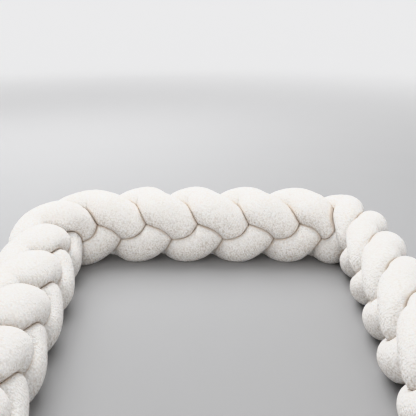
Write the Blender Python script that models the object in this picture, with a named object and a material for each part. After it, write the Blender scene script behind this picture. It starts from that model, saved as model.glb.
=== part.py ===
"""Braided cushion: three stuffed plush tubes in a flat plait that stands on its edge in a U.

The back of the U is at +Y, its open side at -Y, and the underside rests on z = 0.
Each tube is soft: where it meets another one, both flatten against their common middle surface,
and where it meets the floor it flattens there.
"""
import math

import bpy
import numpy as np
from mathutils import Vector
from mathutils.bvhtree import BVHTree

# The way of the plait, seen from above, from the end of the left arm to the end of the right one
LENGTH = 2.000
LEFT_ARM = 0.637
LEFT_BEND = 0.309
BACK = 0.249
RIGHT_BEND = 0.241
LEFT_TOE_IN = 0.057
RIGHT_TOE_IN = 0.044

# The plait: how far a tube runs before it's back in the same place, and how far it swings
TUBES = 3
TURN_LEFT = 0.336
TURN_BACK = 0.278
TURN_RIGHT = 0.314
TURNED_AT_MIDDLE = 0.708
TURN_CHANGE = 0.120
LEFT_TURN_FROM = 0.96
RIGHT_TURN_FROM = 0.25
SWING_HEIGHT = 0.0304
SWING_DEPTH = 0.0190
SWING_SQUARENESS = 1.98
SWING_LAG = -0.18
TUBE_RADIUS = 0.0300

# The arms are pulled out longer than the back, so they differ from it: these are shares of its sizes
SLIM_CHANGE = 0.160
LEFT_SLIM_FROM = 0.49
RIGHT_SLIM_FROM = -0.12
RIGHT_THIN_BEFORE = 0.03
LEFT_HEIGHT, LEFT_DEPTH, LEFT_RADIUS = 0.81, 0.70, 1.00
RIGHT_HEIGHT, RIGHT_DEPTH, RIGHT_RADIUS = 1.20, 0.54, 0.86
LEFT_SHIFT, RIGHT_SHIFT = 0.0086, 0.0133

# How far the top of the plait leans outward on the arms, what the corners add to that, and how deep the
# right corner's tubes swing and how thick they are, as shares of their neighbours'
LEFT_LEAN, RIGHT_LEAN = 0.28, 0.10
LEFT_CORNER_LEAN, RIGHT_CORNER_LEAN = 0.30, -0.15
LEFT_CORNER_SHIFT, RIGHT_CORNER_SHIFT = -0.0011, 0.0039
RIGHT_CORNER_DEPTH, RIGHT_CORNER_RADIUS = 1.144, 0.918
CORNER_INSET = 0.030
CORNER_REACH = 0.124

# How soft the tubes are
GAP = 0.0007
YIELDS = 16
LARGEST_YIELD = 0.002
SMALLEST_YIELD = 0.00005
SEARCH_REACH = 0.02
SQUARELY_BEHIND = -0.7
SHOULDER = 9.0
FULLEST, SLACKEST = 1.25, 0.90
FILLING_ROUNDS = 6
FILLING_HASTE = 1.3
EVENING_OVER = 5
FLOOR_PRESS = 0.0015
END_ROUNDING = 0.045
REACH = 0.090
FAR = 1.0
TINY = 1e-6

# The mesh, and how closely the way is followed before it
WAY_MARGIN = 0.1
WAY_SAMPLES = 4001
NEIGHBOUR_SAMPLES = 700
RINGS = 132
END_RINGS = 5
SIDES = 12
PLUSH_COLOUR = (0.83, 0.80, 0.75, 1.0)
PLUSH_ROUGHNESS = 0.95


def ease(u):
    """Goes smoothly from 0 to 1 while u does."""
    u = np.clip(u, 0.0, 1.0)
    return u * u * (3.0 - 2.0 * u)


def running_sum(rate, step):
    """The integral of rate from the first sample on."""
    return np.concatenate([[0.0], np.cumsum((rate[1:] + rate[:-1]) / 2.0 * step)])


def bend_rate(t, start, length, angle):
    """Curvature of one corner that turns by angle between start and start + length."""
    u = (t - start) / length
    inside = (u > 0.0) & (u < 1.0)
    return np.where(inside, angle * (1.0 - np.cos(2.0 * math.pi * u)) / length, 0.0)


def plait_stations():
    """The plait's way and its section at close steps along it."""
    t = np.linspace(-WAY_MARGIN, LENGTH + WAY_MARGIN, WAY_SAMPLES)
    step = t[1] - t[0]
    back_start = LEFT_ARM + LEFT_BEND
    back_end = back_start + BACK
    right_start = back_end + RIGHT_BEND

    curvature = bend_rate(t, LEFT_ARM, LEFT_BEND, math.pi / 2 + LEFT_TOE_IN)
    curvature += bend_rate(t, back_end, RIGHT_BEND, math.pi / 2 + RIGHT_TOE_IN)
    heading = math.pi / 2 + LEFT_TOE_IN - running_sum(curvature, step)
    x = running_sum(np.cos(heading), step)
    y = running_sum(np.sin(heading), step)
    x -= (np.interp(LEFT_ARM, t, x) + np.interp(right_start, t, x)) / 2.0
    y -= y.max()

    left_turn = ease((LEFT_ARM + LEFT_TURN_FROM * LEFT_BEND - t) / TURN_CHANGE)
    right_turn = ease((t - back_end - RIGHT_TURN_FROM * RIGHT_BEND) / TURN_CHANGE)
    turn = TURN_BACK + (TURN_LEFT - TURN_BACK) * left_turn + (TURN_RIGHT - TURN_BACK) * right_turn
    turns = running_sum(1.0 / turn, step)
    middle = back_start + BACK / 2.0
    turns += TURNED_AT_MIDDLE - np.interp(middle, t, turns)

    left = ease((LEFT_ARM + LEFT_SLIM_FROM * LEFT_BEND - t) / SLIM_CHANGE)
    right = ease((t - back_end - RIGHT_SLIM_FROM * RIGHT_BEND) / SLIM_CHANGE)
    left_thin = ease((back_start - t) / SLIM_CHANGE)
    right_thin = ease((t - back_end + RIGHT_THIN_BEFORE) / SLIM_CHANGE)
    left_corner = np.exp(-((t - LEFT_ARM - CORNER_INSET) / CORNER_REACH) ** 2)
    right_corner = np.exp(-((t - right_start + CORNER_INSET) / CORNER_REACH) ** 2)
    shift = LEFT_SHIFT * left + RIGHT_SHIFT * right
    shift += LEFT_CORNER_SHIFT * left_corner + RIGHT_CORNER_SHIFT * right_corner
    lean = LEFT_LEAN * left + RIGHT_LEAN * right
    lean += LEFT_CORNER_LEAN * left_corner + RIGHT_CORNER_LEAN * right_corner
    height = SWING_HEIGHT * (1.0 - (1.0 - LEFT_HEIGHT) * left - (1.0 - RIGHT_HEIGHT) * right)
    depth = SWING_DEPTH * (1.0 - (1.0 - LEFT_DEPTH) * left_thin - (1.0 - RIGHT_DEPTH) * right_thin)
    depth *= 1.0 - (1.0 - RIGHT_CORNER_DEPTH) * right_corner
    radius = TUBE_RADIUS * (1.0 - (1.0 - LEFT_RADIUS) * left - (1.0 - RIGHT_RADIUS) * right)
    radius *= 1.0 - (1.0 - RIGHT_CORNER_RADIUS) * right_corner
    return {
        "t": t,
        "x": x,
        "y": y,
        "heading": heading,
        "turns": turns,
        "height": height,
        "depth": depth,
        "radius": radius,
        "shift": shift,
        "lean": lean,
    }


def tube_centres(way, s, tube):
    """The middle of one tube at the distances s along the plait."""
    at = {name: np.interp(s, way["t"], values) for name, values in way.items()}
    phase = 2.0 * math.pi * (at["turns"] + tube / TUBES)
    up = at["height"] * np.sin(phase)
    wave = np.tanh(SWING_SQUARENESS * np.sin(2.0 * phase + SWING_LAG)) / math.tanh(SWING_SQUARENESS)
    inward = -at["depth"] * wave
    cosine = np.cos(at["lean"])
    sine = np.sin(at["lean"])
    leaned_up = up * cosine + inward * sine
    leaned_in = inward * cosine - up * sine + at["shift"]
    x = at["x"] + leaned_in * np.sin(at["heading"])
    y = at["y"] - leaned_in * np.cos(at["heading"])
    z = at["height"] + at["radius"] - FLOOR_PRESS + leaned_up
    return np.stack([x, y, z], axis=1)


def ring_directions(centres, s, sides):
    """Unit vectors out of the tube's middle, all round it and square to its way."""
    along = np.gradient(centres, s, axis=0)
    along /= np.linalg.norm(along, axis=1)[:, None]
    up = np.array([0.0, 0.0, 1.0]) - along * along[:, 2:3]
    up /= np.linalg.norm(up, axis=1)[:, None]
    side = np.cross(along, up)
    angle = (np.arange(sides) + 0.5) * 2.0 * math.pi / sides
    return np.cos(angle)[None, :, None] * up[:, None, :] + np.sin(angle)[None, :, None] * side[:, None, :]


def room_to_neighbours(way, centres, directions, s, tube):
    """How far each direction can go before it's nearer to another tube's middle than to its own."""
    room = np.full(directions.shape[:2], FAR)
    other_s = np.linspace(0.0, LENGTH, NEIGHBOUR_SAMPLES)
    for other in range(TUBES):
        if other == tube:
            continue
        others = tube_centres(way, other_s, other)
        for i in range(len(s)):
            apart = others[np.abs(other_s - s[i]) < REACH] - centres[i]
            lean_to = 2.0 * (GAP + directions[i] @ apart.T)
            square = (apart * apart).sum(1) - GAP * GAP
            reach = np.where(lean_to > TINY, square / np.maximum(lean_to, TINY), FAR)
            room[i] = np.minimum(room[i], reach.min(1))
    return room


def rounded_less(room, free):
    """The smaller of the two, with a round shoulder where they meet."""
    return (room ** -SHOULDER + free[:, None] ** -SHOULDER) ** (-1.0 / SHOULDER)


def full_radius(room, directions, base):
    """The free radius at each ring that keeps the cloth's width round the tube the same."""
    free = base.copy()
    kernel = np.hanning(EVENING_OVER)
    kernel /= kernel.sum()
    margin = len(kernel) // 2
    for _ in range(FILLING_ROUNDS):
        points = rounded_less(room, free)[:, :, None] * directions
        around = np.linalg.norm(np.roll(points, -1, 1) - points, axis=2).sum(1)
        wanted = free * (2.0 * math.pi * base / around) ** FILLING_HASTE
        free = np.clip(wanted, SLACKEST * base, FULLEST * base)
        free = np.convolve(np.pad(free, margin, mode="edge"), kernel, mode="valid")
    return free


def ring_stations():
    """Distances along the plait of the rings, closer together in the rounded ends."""
    rounding = END_ROUNDING * (1.0 - np.cos(np.linspace(0.0, math.pi / 2, END_RINGS + 1)))
    body = np.linspace(END_ROUNDING, LENGTH - END_ROUNDING, RINGS)
    return np.concatenate([rounding[:-1], body, LENGTH - rounding[-2::-1]])


class Tube:
    """One stuffed tube: its middle line, its ring directions and its radius in each of them."""

    def __init__(self, way, number):
        self.s = ring_stations()
        self.centres = tube_centres(way, self.s, number)
        self.directions = ring_directions(self.centres, self.s, SIDES)
        room = room_to_neighbours(way, self.centres, self.directions, self.s, number)
        base = np.interp(self.s, way["t"], way["radius"])
        self.radius = rounded_less(room, full_radius(room, self.directions, base))
        from_end = np.minimum(self.s, LENGTH - self.s)
        closing = 1.0 - np.clip(from_end / END_ROUNDING, 0.0, 1.0)
        self.radius *= np.sqrt(1.0 - closing ** 2)[:, None]
        self.faces = skin_faces(len(self.s), SIDES)

    def points(self):
        """The skin's points: the rings in order, then the two end points."""
        downward = -self.directions[:, :, 2]
        height = self.centres[:, None, 2]
        to_floor = np.where(downward > TINY, height / np.maximum(downward, TINY), FAR)
        radius = np.minimum(self.radius, to_floor)
        skin = self.centres[:, None, :] + radius[:, :, None] * self.directions
        skin[:, :, 2] = np.where(self.radius >= to_floor, 0.0, skin[:, :, 2])
        return np.concatenate([skin[1:-1].reshape(-1, 3), self.centres[:1], self.centres[-1:]])

    def draw_in(self, need):
        """Shortens the radii by what each skin point needs."""
        self.radius[1:-1] -= need[:-2].reshape(-1, SIDES)


def skin_faces(rings, sides):
    """Triangles over the inner rings and to the point at each end."""
    start_point = (rings - 2) * sides
    end_point = start_point + 1
    last_ring = (rings - 3) * sides
    faces = []
    for i in range(rings - 3):
        for j in range(sides):
            a = i * sides + j
            b = i * sides + (j + 1) % sides
            faces.append((a, b, b + sides))
            faces.append((a, b + sides, a + sides))
    for j in range(sides):
        k = (j + 1) % sides
        faces.append((start_point, k, j))
        faces.append((end_point, last_ring + j, last_ring + k))
    return faces


def shortfall(tree, spot):
    """How much of the gap is missing between a spot and a neighbour's skin."""
    point = Vector(spot)
    found, normal, _, apart = tree.find_nearest(point, SEARCH_REACH)
    if found is None:
        return 0.0
    # A spot is inside only if it lies squarely behind the facet, not just past a sharp corner
    if (point - found).dot(normal) < SQUARELY_BEHIND * apart:
        apart = -apart
    return max(0.0, GAP - apart)


def yield_to_each_other(tubes):
    """Draws back the facets that come too near a neighbour, both by half, until a gap is left."""
    # On each facet: its corners, the middles of its sides and its own middle
    weights = np.array([(1, 0, 0), (0, 1, 0), (0, 0, 1), (1, 1, 0), (0, 1, 1), (1, 0, 1), (1, 1, 1)], float)
    weights /= weights.sum(1)[:, None]
    for _ in range(YIELDS):
        skins = [tube.points() for tube in tubes]
        trees = [BVHTree.FromPolygons([Vector(p) for p in skin], tube.faces)
                 for skin, tube in zip(skins, tubes)]
        needs = [np.zeros(len(skin)) for skin in skins]
        for number, tube in enumerate(tubes):
            need = needs[number]
            corners = skins[number][np.array(tube.faces)]
            samples = np.einsum("wc,fcx->fwx", weights, corners)
            for other in range(len(tubes)):
                if other == number:
                    continue
                for face, spots in zip(tube.faces, samples):
                    short = max(shortfall(trees[other], spot) for spot in spots)
                    for corner in face:
                        need[corner] = max(need[corner], 0.5 * min(short, LARGEST_YIELD))
                for crossing, _ in trees[number].overlap(trees[other]):
                    for corner in tube.faces[crossing]:
                        need[corner] = max(need[corner], GAP)
        if max(need.max() for need in needs) < SMALLEST_YIELD:
            break
        for tube, need in zip(tubes, needs):
            tube.draw_in(need)


def tube_mesh(name, points, faces):
    """A closed mesh of one tube's skin."""
    mesh = bpy.data.meshes.new(name)
    mesh.from_pydata([tuple(point) for point in points], [], faces)
    mesh.update()
    mesh.shade_smooth()
    return mesh


def plush_material(name):
    material = bpy.data.materials.new(name)
    material.use_nodes = True
    principled = material.node_tree.nodes["Principled BSDF"]
    principled.inputs["Base Color"].default_value = PLUSH_COLOUR
    principled.inputs["Roughness"].default_value = PLUSH_ROUGHNESS
    principled.inputs["Metallic"].default_value = 0.0
    return material


def build():
    for old in list(bpy.data.objects):
        bpy.data.objects.remove(old)
    way = plait_stations()
    tubes = [Tube(way, number) for number in range(TUBES)]
    yield_to_each_other(tubes)
    skins = [tube.points() for tube in tubes]
    everything = np.concatenate(skins)
    middle = (everything.min(0) + everything.max(0)) / 2.0
    underneath = np.array([middle[0], middle[1], 0.0])

    # The empty carries the whole plait, with its origin under the middle of its box
    plait = bpy.data.objects.new("plait", None)
    bpy.context.scene.collection.objects.link(plait)
    for number, tube in enumerate(tubes):
        name = f"tube_{number + 1}"
        obj = bpy.data.objects.new(name, tube_mesh(name, skins[number] - underneath, tube.faces))
        bpy.context.scene.collection.objects.link(obj)
        obj.data.materials.append(plush_material(f"plush_{number + 1}"))
        obj.parent = plait


build()
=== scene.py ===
# %% [markdown]
# # A braided cushion of plush tubes
# Three long tubes of white teddy plush, stuffed and plaited, stand on their edge in a U.
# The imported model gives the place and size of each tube. This script dresses it: it makes each tube again
# with a fine skin, gives the skin its nubs, and finishes it with a plush material.

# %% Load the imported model
import math

import bpy
import numpy as np
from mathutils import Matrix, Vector


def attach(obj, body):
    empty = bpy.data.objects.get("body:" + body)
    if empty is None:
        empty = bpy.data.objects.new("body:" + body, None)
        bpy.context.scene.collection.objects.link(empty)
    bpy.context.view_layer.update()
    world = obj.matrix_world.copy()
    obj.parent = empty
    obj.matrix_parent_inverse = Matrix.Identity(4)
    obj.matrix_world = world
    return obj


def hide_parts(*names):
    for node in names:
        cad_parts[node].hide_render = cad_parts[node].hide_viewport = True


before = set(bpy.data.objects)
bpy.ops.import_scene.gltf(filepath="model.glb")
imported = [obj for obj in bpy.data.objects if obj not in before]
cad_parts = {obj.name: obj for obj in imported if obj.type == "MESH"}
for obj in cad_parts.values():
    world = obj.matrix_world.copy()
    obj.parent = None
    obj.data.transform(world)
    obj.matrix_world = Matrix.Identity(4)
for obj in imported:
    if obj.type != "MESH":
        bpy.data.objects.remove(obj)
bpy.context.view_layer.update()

# %% [markdown]
# ## The way that the plait takes
# Seen from above, the plait is one line: an arm, a wide corner, the back, a narrower corner and the
# other arm. The real one is plaited straight and bends where it is laid. We could draw a curve by
# hand, but two numbers describe each corner, its length and its angle, so we add up a bend rate along the
# line instead. The rate rises and falls as a cosine, and the plait never kinks.

# %% The lengths along the plait, in metres
LENGTH = 2.000
LEFT_ARM = 0.637
LEFT_BEND = 0.309
BACK = 0.249
RIGHT_BEND = 0.241
# How far each arm turns in past square, in radians
LEFT_TOE_IN = 0.057
RIGHT_TOE_IN = 0.044
BACK_START = LEFT_ARM + LEFT_BEND
BACK_END = BACK_START + BACK
RIGHT_START = BACK_END + RIGHT_BEND
WAY_MARGIN = 0.1
WAY_SAMPLES = 4001


def ease(u):
    """Goes smoothly from 0 to 1 while u does."""
    u = np.clip(u, 0.0, 1.0)
    return u * u * (3.0 - 2.0 * u)


def running_sum(rate, step):
    """The integral of rate from the first sample on."""
    return np.concatenate([[0.0], np.cumsum((rate[1:] + rate[:-1]) / 2.0 * step)])


def bend_rate(t, start, length, angle):
    """Curvature of one corner that turns by angle between start and start + length."""
    u = (t - start) / length
    inside = (u > 0.0) & (u < 1.0)
    return np.where(inside, angle * (1.0 - np.cos(2.0 * math.pi * u)) / length, 0.0)


t = np.linspace(-WAY_MARGIN, LENGTH + WAY_MARGIN, WAY_SAMPLES)
step = t[1] - t[0]
curvature = bend_rate(t, LEFT_ARM, LEFT_BEND, math.pi / 2 + LEFT_TOE_IN)
curvature += bend_rate(t, BACK_END, RIGHT_BEND, math.pi / 2 + RIGHT_TOE_IN)
heading = math.pi / 2 + LEFT_TOE_IN - running_sum(curvature, step)
way_x = running_sum(np.cos(heading), step)
way_y = running_sum(np.sin(heading), step)
way_x -= (np.interp(LEFT_ARM, t, way_x) + np.interp(RIGHT_START, t, way_x)) / 2.0
way_y -= way_y.max()
print("between the arms' middle lines:", round(2.0 * np.interp(RIGHT_START, t, way_x), 3), "m")

# %% [markdown]
# ## How the plait changes on its way
# Hand-made plaits aren't even. The arms are pulled out longer than the back, the left one most, so their
# turns are longer and swing less from front to back, and the left arm leans. Each of these is a value that
# eases from one length to the next, which keeps the tubes smooth.

# %% The plait's section at each place
TUBES = 3
# Length of plait for one whole turn, and how many turns are done at the middle of the back
TURN_LEFT = 0.336
TURN_BACK = 0.278
TURN_RIGHT = 0.314
TURNED_AT_MIDDLE = 0.708
# Length of each change, and where it starts, as a part of its corner's length
TURN_CHANGE = 0.120
LEFT_TURN_FROM = 0.96
RIGHT_TURN_FROM = 0.25
SWING_HEIGHT = 0.0304
SWING_DEPTH = 0.0190
TUBE_RADIUS = 0.0300
SLIM_CHANGE = 0.160
LEFT_SLIM_FROM = 0.49
RIGHT_SLIM_FROM = -0.12
RIGHT_THIN_BEFORE = 0.03
# Swing and radius of the arms, as parts of those at the back
LEFT_HEIGHT, LEFT_DEPTH, LEFT_RADIUS = 0.81, 0.70, 1.00
RIGHT_HEIGHT, RIGHT_DEPTH, RIGHT_RADIUS = 1.20, 0.54, 0.86
# Steps towards the inside of the U, in metres, and leans, in radians
LEFT_SHIFT, RIGHT_SHIFT = 0.0086, 0.0133
LEFT_LEAN, RIGHT_LEAN = 0.28, 0.10
LEFT_CORNER_LEAN, RIGHT_CORNER_LEAN = 0.30, -0.15
LEFT_CORNER_SHIFT, RIGHT_CORNER_SHIFT = -0.0011, 0.0039
RIGHT_CORNER_DEPTH, RIGHT_CORNER_RADIUS = 1.144, 0.918
CORNER_INSET = 0.030
CORNER_REACH = 0.124


def between(whole, left_part, left, right_part, right):
    """A size that is whole at the back and only a part of it on the arms."""
    return whole * (1.0 - (1.0 - left_part) * left - (1.0 - right_part) * right)


left_turn = ease((LEFT_ARM + LEFT_TURN_FROM * LEFT_BEND - t) / TURN_CHANGE)
right_turn = ease((t - BACK_END - RIGHT_TURN_FROM * RIGHT_BEND) / TURN_CHANGE)
turn = TURN_BACK + (TURN_LEFT - TURN_BACK) * left_turn + (TURN_RIGHT - TURN_BACK) * right_turn
turns = running_sum(1.0 / turn, step)
back_middle = BACK_START + BACK / 2.0
turns += TURNED_AT_MIDDLE - np.interp(back_middle, t, turns)

left = ease((LEFT_ARM + LEFT_SLIM_FROM * LEFT_BEND - t) / SLIM_CHANGE)
right = ease((t - BACK_END - RIGHT_SLIM_FROM * RIGHT_BEND) / SLIM_CHANGE)
left_thin = ease((BACK_START - t) / SLIM_CHANGE)
right_thin = ease((t - BACK_END + RIGHT_THIN_BEFORE) / SLIM_CHANGE)
left_corner = np.exp(-((t - LEFT_ARM - CORNER_INSET) / CORNER_REACH) ** 2)
right_corner = np.exp(-((t - RIGHT_START + CORNER_INSET) / CORNER_REACH) ** 2)
shift = LEFT_SHIFT * left + RIGHT_SHIFT * right
shift += LEFT_CORNER_SHIFT * left_corner + RIGHT_CORNER_SHIFT * right_corner
lean = LEFT_LEAN * left + RIGHT_LEAN * right
lean += LEFT_CORNER_LEAN * left_corner + RIGHT_CORNER_LEAN * right_corner
depth = between(SWING_DEPTH, LEFT_DEPTH, left_thin, RIGHT_DEPTH, right_thin)
depth *= 1.0 - (1.0 - RIGHT_CORNER_DEPTH) * right_corner
radius = between(TUBE_RADIUS, LEFT_RADIUS, left, RIGHT_RADIUS, right)
radius *= 1.0 - (1.0 - RIGHT_CORNER_RADIUS) * right_corner
way = {
    "x": way_x,
    "y": way_y,
    "heading": heading,
    "turns": turns,
    "height": between(SWING_HEIGHT, LEFT_HEIGHT, left, RIGHT_HEIGHT, right),
    "depth": depth,
    "radius": radius,
    "shift": shift,
    "lean": lean,
}
print("turns of the plait:", round(float(np.interp(LENGTH, t, turns) - np.interp(0.0, t, turns)), 2))

# %% [markdown]
# ## The middle line of each tube
# In a flat plait of three, every tube swings up and down once a turn, and from front to back twice, as it
# goes over one neighbour and under the other. The three take turns, a third of a turn apart. A plain sine
# would cross too gently, so the front-to-back swing is squared off a little.

# %% Middle lines
SWING_SQUARENESS = 1.98
SWING_LAG = -0.18
FLOOR_PRESS = 0.0015


def tube_centres(s, tube):
    """The middle of one tube at the distances s along the plait."""
    at = {name: np.interp(s, t, values) for name, values in way.items()}
    phase = 2.0 * math.pi * (at["turns"] + tube / TUBES)
    up = at["height"] * np.sin(phase)
    wave = np.tanh(SWING_SQUARENESS * np.sin(2.0 * phase + SWING_LAG)) / math.tanh(SWING_SQUARENESS)
    inward = -at["depth"] * wave
    cosine = np.cos(at["lean"])
    sine = np.sin(at["lean"])
    leaned_up = up * cosine + inward * sine
    leaned_in = inward * cosine - up * sine + at["shift"]
    x = at["x"] + leaned_in * np.sin(at["heading"])
    y = at["y"] - leaned_in * np.cos(at["heading"])
    z = at["height"] + at["radius"] - FLOOR_PRESS + leaned_up
    return np.stack([x, y, z], axis=1)


rise = tube_centres(t, 0)[:, 2]
print("middle of a tube, lowest and highest:", round(rise.min(), 3), round(rise.max(), 3), "m")


def ring_directions(centres, s, sides):
    """Unit vectors out of the tube's middle, all round it and square to its way."""
    along = np.gradient(centres, s, axis=0)
    along /= np.linalg.norm(along, axis=1)[:, None]
    up = np.array([0.0, 0.0, 1.0]) - along * along[:, 2:3]
    up /= np.linalg.norm(up, axis=1)[:, None]
    side = np.cross(along, up)
    angle = (np.arange(sides) + 0.5) * 2.0 * math.pi / sides
    return np.cos(angle)[None, :, None] * up[:, None, :] + np.sin(angle)[None, :, None] * side[:, None, :]


# %% [markdown]
# ## Soft tubes that press on each other
# Where two stuffed tubes touch, each gives way by half, and they meet in a nearly flat face. Cloth simulation
# could look for that face, but for tubes it is known beforehand: it is where a point is as near to one middle
# line as to the other. So each point of a skin goes out to its free radius or to that face, whichever comes
# first, with a round shoulder between them. What is pressed in at the sides bulges out elsewhere, because the
# cloth round a tube keeps its width.

# %% How far each point of a skin reaches
GAP = 0.0003
REACH = 0.090
NEIGHBOUR_SAMPLES = 700
SHOULDER = 5.0
FULLEST, SLACKEST = 1.25, 0.90
CLOTH_EVENS_OVER = 0.030
FILLING_ROUNDS = 6
FILLING_HASTE = 1.3
FAR = 1.0
TINY = 1e-6


def room_to_neighbours(centres, directions, s, tube):
    """How far each direction can go before it's nearer to another tube's middle than to its own."""
    room = np.full(directions.shape[:2], FAR)
    other_s = np.linspace(0.0, LENGTH, NEIGHBOUR_SAMPLES)
    for other in range(TUBES):
        if other == tube:
            continue
        others = tube_centres(other_s, other)
        for i in range(len(s)):
            apart = others[np.abs(other_s - s[i]) < REACH] - centres[i]
            lean_to = 2.0 * (GAP + directions[i] @ apart.T)
            square = (apart * apart).sum(1) - GAP * GAP
            reach = np.where(lean_to > TINY, square / np.maximum(lean_to, TINY), FAR)
            room[i] = np.minimum(room[i], reach.min(1))
    return room


def rounded_less(room, free):
    """The smaller of the two, with a round shoulder where they meet."""
    return (room ** -SHOULDER + free[:, None] ** -SHOULDER) ** (-1.0 / SHOULDER)


def full_radius(room, directions, base, ring_step):
    """The free radius at each ring that keeps the cloth's width round the tube the same."""
    free = base.copy()
    margin = round(CLOTH_EVENS_OVER / ring_step)
    kernel = np.hanning(2 * margin + 1)
    kernel /= kernel.sum()
    for _ in range(FILLING_ROUNDS):
        points = rounded_less(room, free)[:, :, None] * directions
        around = np.linalg.norm(np.roll(points, -1, 1) - points, axis=2).sum(1)
        wanted = free * (2.0 * math.pi * base / around) ** FILLING_HASTE
        free = np.clip(wanted, SLACKEST * base, FULLEST * base)
        free = np.convolve(np.pad(free, margin, mode="edge"), kernel, mode="valid")
    return free


# %% [markdown]
# ## Nubs of the plush
# Teddy plush is a knitted cloth whose pile curls into small nubs, three to five millimetres across. On the
# outline they show as a slightly bumpy edge, which a bump in a material can't give, so the larger nubs are
# in the mesh. Each nub is a round heap over a random point of its own cell, the same point in every run.
# Below them lies the filling, which is never quite even, and gives long, low dents.

# %% Relief of the pile and the filling
NUB_SIZE = 0.0040
NUB_HEIGHT = 0.0008
CREASE_PILE = 0.0018
LUMP_SIZE = 0.034
LUMP_HEIGHT = 0.0012
HASH_FACTORS = (73856093, 19349663, 83492791)
HASH_STIR = 0x45D9F3B
HASH_BITS = 16
HASH_MASK = 0xFFFFFFFF
HASH_ROUNDS = 2


def cell_numbers(cell, seed):
    """A number from 0 to 1 for every cell, always the same for the same cell and seed."""
    mixed = np.full(cell.shape[:-1], seed * HASH_STIR, dtype=np.int64)
    for axis, factor in enumerate(HASH_FACTORS):
        mixed ^= cell[..., axis] * factor
    mixed &= HASH_MASK
    for _ in range(HASH_ROUNDS):
        mixed = ((mixed >> HASH_BITS) ^ mixed) * HASH_STIR & HASH_MASK
    return ((mixed >> HASH_BITS) ^ mixed) / float(HASH_MASK)


def heaps(points, size, seed):
    """Round heaps about size across: 1 on top of a heap and 0 between heaps."""
    place = points / size
    cell = np.floor(place).astype(np.int64)
    nearest = np.full(len(points), np.inf)
    for offset in np.ndindex(3, 3, 3):
        near = cell + np.array(offset) - 1
        spot = np.stack([cell_numbers(near, seed + axis) for axis in range(3)], axis=-1)
        nearest = np.minimum(nearest, ((near + spot - place) ** 2).sum(1))
    return np.clip(1.0 - nearest, 0.0, 1.0)


def waves(points, size, seed):
    """Soft unevenness from -1 to 1, whose humps are about size across."""
    place = points / size
    cell = np.floor(place).astype(np.int64)
    part = ease(place - cell)
    total = np.zeros(len(points))
    for offset in np.ndindex(2, 2, 2):
        share = np.prod(np.where(np.array(offset) == 1, part, 1.0 - part), axis=1)
        total += share * cell_numbers(cell + np.array(offset), seed)
    return 2.0 * total - 1.0


# %% [markdown]
# ## One tube's skin
# A skin is a set of rings along the middle line, joined by four-sided faces, with a fan at both ends. The
# rings are closer together in the rounded ends. Two values are stored for every point, because the material
# needs them later: how deep the point lies in a crease, and how far along the tube it is.

# %% Skins
RINGS = 1140
END_RINGS = 14
SIDES = 84
END_ROUNDING = 0.045
CREASE_FROM, CREASE_OVER = 0.94, 0.20
SEED = 7


def ring_stations():
    """Distances along the plait of the rings, closer together in the rounded ends."""
    rounding = END_ROUNDING * (1.0 - np.cos(np.linspace(0.0, math.pi / 2, END_RINGS + 1)))
    body = np.linspace(END_ROUNDING, LENGTH - END_ROUNDING, RINGS)
    return np.concatenate([rounding[:-1], body, LENGTH - rounding[-2::-1]])


def tube_skin(number):
    """Points of one tube's skin, how deep each lies in a crease, and its distance along the tube."""
    s = ring_stations()
    centres = tube_centres(s, number)
    directions = ring_directions(centres, s, SIDES)
    room = room_to_neighbours(centres, directions, s, number)
    base = np.interp(s, t, way["radius"])
    free = full_radius(room, directions, base, LENGTH / RINGS)
    radius = rounded_less(room, free)
    closing = 1.0 - np.clip(np.minimum(s, LENGTH - s) / END_ROUNDING, 0.0, 1.0)
    radius *= np.sqrt(1.0 - closing ** 2)[:, None]
    crease = 1.0 - ease((room / free[:, None] - CREASE_FROM) / CREASE_OVER)

    downward = -directions[:, :, 2]
    to_floor = np.where(downward > TINY, centres[:, None, 2] / np.maximum(downward, TINY), FAR)
    bare = (centres[:, None, :] + radius[:, :, None] * directions).reshape(-1, 3)
    relief = NUB_HEIGHT * heaps(bare, NUB_SIZE, SEED).reshape(radius.shape)
    relief += LUMP_HEIGHT * waves(bare, LUMP_SIZE, SEED).reshape(radius.shape)
    # The pile stands up in a crease and fills it, but it ends where the neighbour's begins
    relief += CREASE_PILE * crease
    radius = np.minimum(radius + relief, np.maximum(room, radius))
    on_floor = radius >= to_floor
    skin = centres[:, None, :] + np.minimum(radius, to_floor)[:, :, None] * directions
    skin[:, :, 2] = np.where(on_floor, 0.0, skin[:, :, 2])

    run = np.concatenate([[0.0], np.cumsum(np.linalg.norm(np.diff(centres, axis=0), axis=1))])
    along = np.repeat(run[1:-1], SIDES)
    points = np.concatenate([skin[1:-1].reshape(-1, 3), centres[:1], centres[-1:]])
    crease = np.concatenate([crease[1:-1].ravel(), [0.0, 0.0]])
    return points, crease, np.concatenate([along, [run[0], run[-1]]])


def skin_faces(rings):
    """Four-sided faces over the inner rings, and a fan to the point at each end."""
    start_point = (rings - 2) * SIDES
    end_point = start_point + 1
    last_ring = (rings - 3) * SIDES
    faces = []
    for i in range(rings - 3):
        for j in range(SIDES):
            a = i * SIDES + j
            b = i * SIDES + (j + 1) % SIDES
            faces.append((a, b, b + SIDES, a + SIDES))
    for j in range(SIDES):
        k = (j + 1) % SIDES
        faces.append((start_point, k, j))
        faces.append((end_point, last_ring + j, last_ring + k))
    return faces


skins = [tube_skin(number) for number in range(TUBES)]
everything = np.concatenate([points for points, _, _ in skins])
middle = (everything.min(0) + everything.max(0)) / 2.0
underneath = np.array([middle[0], middle[1], 0.0])
print("dressed plait, size in metres:", np.round(everything.max(0) - everything.min(0), 4))

# %% [markdown]
# ## The camera
# The camera stands in front of the open side, a little above the plait, and looks down into the U. Its lens,
# height and tilt are measured values: they set how large the back looks between the arms, and how steeply
# the arms run away from us. The camera comes before the finish, because how fine a finish must be depends on
# how near it is seen.

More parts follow.
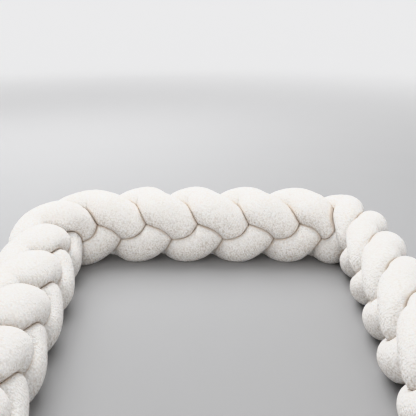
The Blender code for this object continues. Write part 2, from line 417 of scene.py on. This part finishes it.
# %% Camera
PICTURE = 416
FOCAL_PIXELS = 627.0
SENSOR = 36.0
CAMERA_TILT = math.radians(18.35)
CAMERA_HEIGHT = 0.4571
CAMERA_BEFORE_BACK = 1.102
CAMERA_SIDE = -0.0036
NEAREST_SEEN = 0.01

lens = bpy.data.cameras.new("camera")
lens.sensor_width = SENSOR
lens.lens = FOCAL_PIXELS / PICTURE * SENSOR
lens.clip_start = NEAREST_SEEN
camera = bpy.data.objects.new("camera", lens)
bpy.context.scene.collection.objects.link(camera)
camera.location = Vector((CAMERA_SIDE, -CAMERA_BEFORE_BACK, CAMERA_HEIGHT)) - Vector(underneath)
camera.rotation_euler = (math.pi / 2 - CAMERA_TILT, 0.0, 0.0)
bpy.context.scene.camera = camera
print("camera at", tuple(round(value, 4) for value in camera.location))

# %% [markdown]
# ## Shader maths as Python
# A material's pattern is a chain of nodes, and wiring it by hand hides what it means. This small class wraps
# a socket, so that an expression such as 1 - nub adds its Math nodes by itself. Any other node comes from
# one method.


# %% A socket that can be calculated with
class Wire:
    """A socket of a material. Plus, minus, times, divide and power add Math nodes."""

    def __init__(self, socket):
        self.socket = socket

    def node(self, kind, settings=None, inputs=None, output=0):
        """Adds a node to this socket's tree: its settings first, and then its sockets' values or links."""
        tree = self.socket.id_data
        made = tree.nodes.new(kind)
        for name, value in (settings or {}).items():
            setattr(made, name, value)
        for name, value in (inputs or {}).items():
            if isinstance(value, Wire):
                tree.links.new(value.socket, made.inputs[name])
            else:
                made.inputs[name].default_value = value
        return Wire(made.outputs[output])

    def maths(self, operation, first, second):
        return self.node("ShaderNodeMath", {"operation": operation}, {0: first, 1: second})

    def __add__(self, other):
        return self.maths("ADD", self, other)

    def __radd__(self, other):
        return self.maths("ADD", other, self)

    def __sub__(self, other):
        return self.maths("SUBTRACT", self, other)

    def __rsub__(self, other):
        return self.maths("SUBTRACT", other, self)

    def __mul__(self, other):
        return self.maths("MULTIPLY", self, other)

    def __rmul__(self, other):
        return self.maths("MULTIPLY", other, self)

    def __truediv__(self, other):
        return self.maths("DIVIDE", self, other)

    def __pow__(self, other):
        return self.maths("POWER", self, other)


# The Mix node gives its sockets for numbers and for colours the same names, so they are picked by place
MIX_FACTOR, MIX_FIRST, MIX_SECOND, MIX_COLOUR = 0, 6, 7, 2


def mixed_colour(factor, first, second):
    """A colour that goes from the first to the second while the factor goes from 0 to 1."""
    inputs = {MIX_FACTOR: factor, MIX_FIRST: first, MIX_SECOND: second}
    return factor.node("ShaderNodeMix", {"data_type": "RGBA"}, inputs, MIX_COLOUR)


# %% [markdown]
# ## The stage
# The floor is plain and a little darker than the plush, so that the white outline stands out. Far out it
# curves up into a low round wall, so that no horizon shows from any side. A studio lights its backdrop apart,
# so the stage grows paler on its way out and glows there a little. That could be lamps of its own, but a
# glow needs no aiming and leaves no bright spots.

# %% Stage
FLAT_RADIUS, CURVE_RADIUS, WALL_HEIGHT = 4.5, 1.5, 2.5
FLAT_STEPS, CURVE_STEPS, STAGE_SIDES = 16, 16, 96
FLOOR_GREY = (0.35, 0.35, 0.355, 1.0)
WALL_GREY = (0.75, 0.75, 0.755, 1.0)
WALL_GLOW = (0.30, 0.30, 0.302, 1.0)
NO_GLOW = (0.0, 0.0, 0.0, 1.0)
PALER_FROM, PALER_OVER = 0.8, 3.2
FLOOR_ROUGHNESS = 0.9

floor_mesh = bpy.data.meshes.new("floor")
profile = [(radius, 0.0) for radius in np.linspace(PALER_FROM, FLAT_RADIUS, FLAT_STEPS)[:-1]]
for bend in np.linspace(0.0, math.pi / 2, CURVE_STEPS + 1):
    profile.append((FLAT_RADIUS + CURVE_RADIUS * math.sin(bend), CURVE_RADIUS * (1.0 - math.cos(bend))))
profile.append((FLAT_RADIUS + CURVE_RADIUS, WALL_HEIGHT))
around = np.arange(STAGE_SIDES) * 2.0 * math.pi / STAGE_SIDES
corners = [(r * math.cos(angle), r * math.sin(angle), z) for r, z in profile for angle in around]
stage_faces = [tuple(range(STAGE_SIDES))]
for first in range(0, len(corners) - STAGE_SIDES, STAGE_SIDES):
    for i in range(STAGE_SIDES):
        k = (i + 1) % STAGE_SIDES
        stage_faces.append((first + i, first + STAGE_SIDES + i, first + STAGE_SIDES + k, first + k))
floor_mesh.from_pydata(corners, [], stage_faces)
floor_mesh.shade_smooth()
floor = bpy.data.objects.new("floor", floor_mesh)
bpy.context.scene.collection.objects.link(floor)
how_far = [ease((math.hypot(x, y) - PALER_FROM) / PALER_OVER) for x, y, _ in corners]
floor_mesh.attributes.new("far", "FLOAT", "POINT").data.foreach_set("value", how_far)
floor_paint = bpy.data.materials.new("floor")
floor_paint.use_nodes = True
paint = floor_paint.node_tree.nodes["Principled BSDF"]
shader = Wire(paint.outputs["BSDF"])
far = shader.node("ShaderNodeAttribute", {"attribute_name": "far"}, output="Fac")
near_and_far = {"Base Color": (FLOOR_GREY, WALL_GREY), "Emission Color": (NO_GLOW, WALL_GLOW)}
for socket, (near_colour, far_colour) in near_and_far.items():
    tint = mixed_colour(far, near_colour, far_colour)
    floor_paint.node_tree.links.new(tint.socket, paint.inputs[socket])
paint.inputs["Emission Strength"].default_value = 1.0
paint.inputs["Roughness"].default_value = FLOOR_ROUGHNESS
floor_mesh.materials.append(floor_paint)
print("stage of", len(corners), "points, with its wall", FLAT_RADIUS + CURVE_RADIUS, "m from the middle")

# %% [markdown]
# ## The light
# White cloth shows its shape only if the light is soft and comes mostly from one side, here from above and
# behind. A wide lamp gives that, a plain pale world fills the shadows, and a lamp far in front lights the
# sides that face the camera. The tone curve is a plain one that keeps whites white.

# %% Light
WORLD_WHITE = (1.0, 1.0, 1.0, 1.0)
WORLD_LIGHT = 0.68
# Each lamp's width in metres, its power in watts and its place
LAMPS = {
    "overhead": (1.5, 40.0, (-0.45, 1.10, 1.50)),
    "fill": (1.0, 62.0, (0.0, -4.2, 1.1)),
}

world = bpy.data.worlds.new("room")
world.use_nodes = True
world.node_tree.nodes["Background"].inputs["Color"].default_value = WORLD_WHITE
world.node_tree.nodes["Background"].inputs["Strength"].default_value = WORLD_LIGHT
bpy.context.scene.world = world

for name, (size, power, lamp_place) in LAMPS.items():
    lamp_data = bpy.data.lights.new(name, "AREA")
    lamp_data.size = size
    lamp_data.energy = power
    lamp = bpy.data.objects.new(name, lamp_data)
    bpy.context.scene.collection.objects.link(lamp)
    lamp.location = lamp_place
    lamp.rotation_euler = Vector(lamp_place).to_track_quat("Z", "Y").to_euler()
    lamp.visible_camera = False
    print("lamp", name, size, "m wide at", lamp_place)
bpy.context.scene.view_settings.view_transform = "Khronos PBR Neutral"

# %% [markdown]
# ## The plush
# Three things make white plush look soft: it is matt, it glows a little where light gets into the pile, and
# its nubs shade each other. That shade is painted into the colour: the nubs' tops are nearly white, and
# between them and in the creases painted shade makes the pile a warm beige. The painted shade between nubs is
# deepest where the pile faces sideways or down, because the light from above grazes it there. Fine rows of
# the knitted ground run round the tube and show faintly.

# %% Plush material
PLUSH_LIGHT = (0.925, 0.907, 0.887, 1.0)
# Painted shade: the colour the pile is darkened to between the nubs, where the nubs shade each other
PLUSH_PAINTED_SHADE = (0.620, 0.565, 0.505, 1.0)
# Painted shade: the warm colour the pile is darkened to deep in a crease between two tubes
PLUSH_PAINTED_CREASE_SHADE = (0.760, 0.675, 0.595, 1.0)
CREASE_SHADE_FALLOFF = 2.0
SHADER_NUB_SIZE, NUB_SMOOTHNESS = 0.0028, 0.6
FIBRE_SIZE, FIBRE_DETAIL = 0.0009, 2.0
ROW_PITCH, ROW_WANDER = 0.0027, 3.0
NUB_BUMP, FIBRE_BUMP, ROW_BUMP = 0.64, 0.28, 0.08
BUMP_HEIGHT = 0.0040
BUMP_STRENGTH = 0.7
PIT_BELOW = 0.65
# How strong the painted shade between nubs is, and how much it grows where the pile faces sideways or down
PIT_CONTRAST, MORE_CONTRAST_BELOW = 1.15, 1.80
FACING_UP, FACING_DOWN = 0.35, -0.35
ROUGHNESS, SPECULAR = 0.95, 0.15
SHEEN, SHEEN_ROUGHNESS = 0.25, 0.5
GLOW = 0.35
GLOW_RADIUS = (0.010, 0.009, 0.008)


def plush_material(name):
    """White teddy plush with nubs, fibres and faint rows, with painted shade between the nubs and warm
    painted shade in the creases.
    """
    material = bpy.data.materials.new(name)
    material.use_nodes = True
    principled = material.node_tree.nodes["Principled BSDF"]
    shader = Wire(principled.outputs["BSDF"])
    place = shader.node("ShaderNodeTexCoord", output="Object")
    nub_cells = {"Vector": place, "Scale": 1.0 / SHADER_NUB_SIZE, "Smoothness": NUB_SMOOTHNESS}
    nub = 1.0 - shader.node("ShaderNodeTexVoronoi", {"feature": "SMOOTH_F1"}, nub_cells)
    fibres = {"Vector": place, "Scale": 1.0 / FIBRE_SIZE, "Detail": FIBRE_DETAIL}
    fibre = shader.node("ShaderNodeTexNoise", None, fibres)
    along = shader.node("ShaderNodeAttribute", {"attribute_name": "along"}, output="Fac")
    crease = shader.node("ShaderNodeAttribute", {"attribute_name": "crease"}, output="Fac")
    angle = along * (2.0 * math.pi / ROW_PITCH) + ROW_WANDER * fibre
    row = shader.node("ShaderNodeMath", {"operation": "SINE"}, {0: angle}) * 0.5 + 0.5
    height = nub * NUB_BUMP + fibre * FIBRE_BUMP + row * ROW_BUMP

    outward = shader.node("ShaderNodeNewGeometry", output="Normal")
    upward = shader.node("ShaderNodeSeparateXYZ", None, {"Vector": outward}, "Z")
    facing = {"Value": upward, "From Min": FACING_UP, "From Max": FACING_DOWN}
    grazed = shader.node("ShaderNodeMapRange", None, facing)
    # Painted shade in the pits between nubs, stronger where the light from above grazes the pile
    pits = (PIT_BELOW - height) * (PIT_CONTRAST + MORE_CONTRAST_BELOW * grazed)
    pile = mixed_colour(pits, PLUSH_LIGHT, PLUSH_PAINTED_SHADE)
    # Painted warm shade in the creases, where the tubes press together
    colour = mixed_colour(crease ** CREASE_SHADE_FALLOFF, pile, PLUSH_PAINTED_CREASE_SHADE)
    bumps = {"Height": height, "Distance": BUMP_HEIGHT, "Strength": BUMP_STRENGTH}
    normal = shader.node("ShaderNodeBump", None, bumps)
    links = material.node_tree.links
    links.new(colour.socket, principled.inputs["Base Color"])
    links.new(normal.socket, principled.inputs["Normal"])
    principled.inputs["Roughness"].default_value = ROUGHNESS
    principled.inputs["Specular IOR Level"].default_value = SPECULAR
    principled.inputs["Sheen Weight"].default_value = SHEEN
    principled.inputs["Sheen Roughness"].default_value = SHEEN_ROUGHNESS
    principled.inputs["Subsurface Weight"].default_value = GLOW
    principled.inputs["Subsurface Radius"].default_value = GLOW_RADIUS
    principled.inputs["Subsurface Scale"].default_value = 1.0
    return material


plush = plush_material("plush")
print("plush material with", len(plush.node_tree.nodes), "nodes")

# %% [markdown]
# ## The three tubes
# Each skin becomes one mesh. It replaces the plain solid of the same tube and moves with it.


def add_value(mesh, name, values):
    """Stores one number for every point of a mesh."""
    layer = mesh.attributes.new(name, "FLOAT", "POINT")
    layer.data.foreach_set("value", values.astype(np.float32))


def dress_tube(number, points, crease, along):
    """Puts one tube's skin in the place of its solid."""
    mesh = bpy.data.meshes.new(f"plush_tube_{number}")
    mesh.from_pydata((points - underneath).tolist(), [], skin_faces(len(ring_stations())))
    mesh.update()
    mesh.shade_smooth()
    add_value(mesh, "crease", crease)
    add_value(mesh, "along", along)
    mesh.materials.append(plush)
    tube = bpy.data.objects.new(f"plush_tube_{number}", mesh)
    bpy.context.scene.collection.objects.link(tube)
    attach(tube, "root")
    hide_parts(f"tube_{number}")
    print(tube.name, len(mesh.polygons), "faces,", round(float(along.max()), 3), "m long")


for index, (points, crease, along) in enumerate(skins):
    dress_tube(index + 1, points, crease, along)
